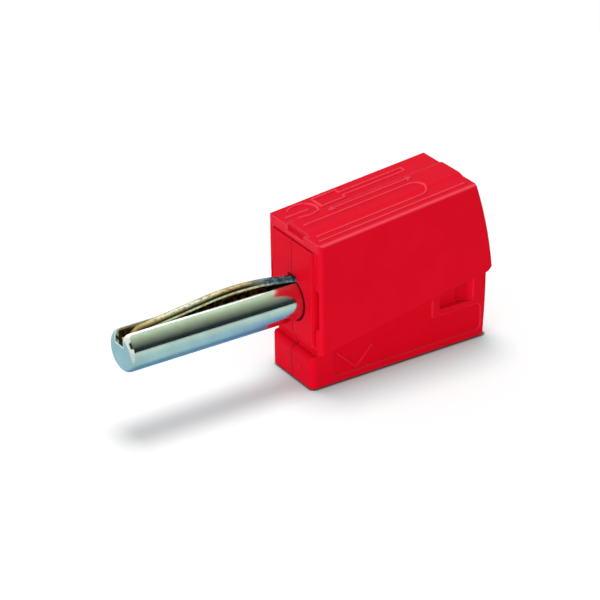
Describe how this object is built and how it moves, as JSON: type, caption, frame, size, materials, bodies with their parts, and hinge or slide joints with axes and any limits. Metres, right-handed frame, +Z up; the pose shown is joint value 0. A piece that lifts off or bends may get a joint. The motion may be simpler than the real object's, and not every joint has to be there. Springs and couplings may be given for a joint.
{
  "type": "banana plug",
  "caption": "Banana plug: slotted round contact pin with a bow spring on a narrow two-shell housing, and a press lever that opens an inner spring clamp for a wire entering at the rear.",
  "frame": {"origin": "on the contact pin's axis, in the plane of the housing's front face", "axes": "-X along the contact pin towards its tip, +X towards the wire entry, +Z up from the flat underside to the lever"},
  "size_m": [0.037, 0.0086, 0.0168],
  "materials": {
    "housing_plastic": "satin moulded polyamide, red",
    "lever_plastic": "satin moulded polyamide, red",
    "plated_pin": "turned brass, bright nickel plating",
    "bow_bronze": "rolled bronze strip with a heat tint at its root",
    "tinned_copper": "tinned copper strip",
    "clamp_steel": "rolled spring steel strip"
  },
  "bodies": {
    "housing": {"right_half_shell": "housing_plastic", "left_half_shell": "housing_plastic", "contact_pin": "plated_pin", "current_bar": "tinned_copper", "clamp_spring": "clamp_steel"},
    "lever": {"press_lever": "lever_plastic"},
    "bow": {"bow_spring": "bow_bronze"}
  },
  "joints": [
    {"name": "lever_press", "type": "hinge", "parent": "housing", "child": "lever", "pos_m": [0.0023, 0, -0.0025], "axis": [0, 1, 0], "range_deg": [0, 5.5], "stiffness_Nm_per_rad": 1.2, "deforming": ["clamp_spring"]},
    {"name": "bow_press", "type": "slide", "parent": "housing", "child": "bow", "axis": [0, 0, -1], "range_m": [0, 0.00085], "stiffness_N_per_m": 6000, "deforming": ["bow_spring"]}
  ]
}
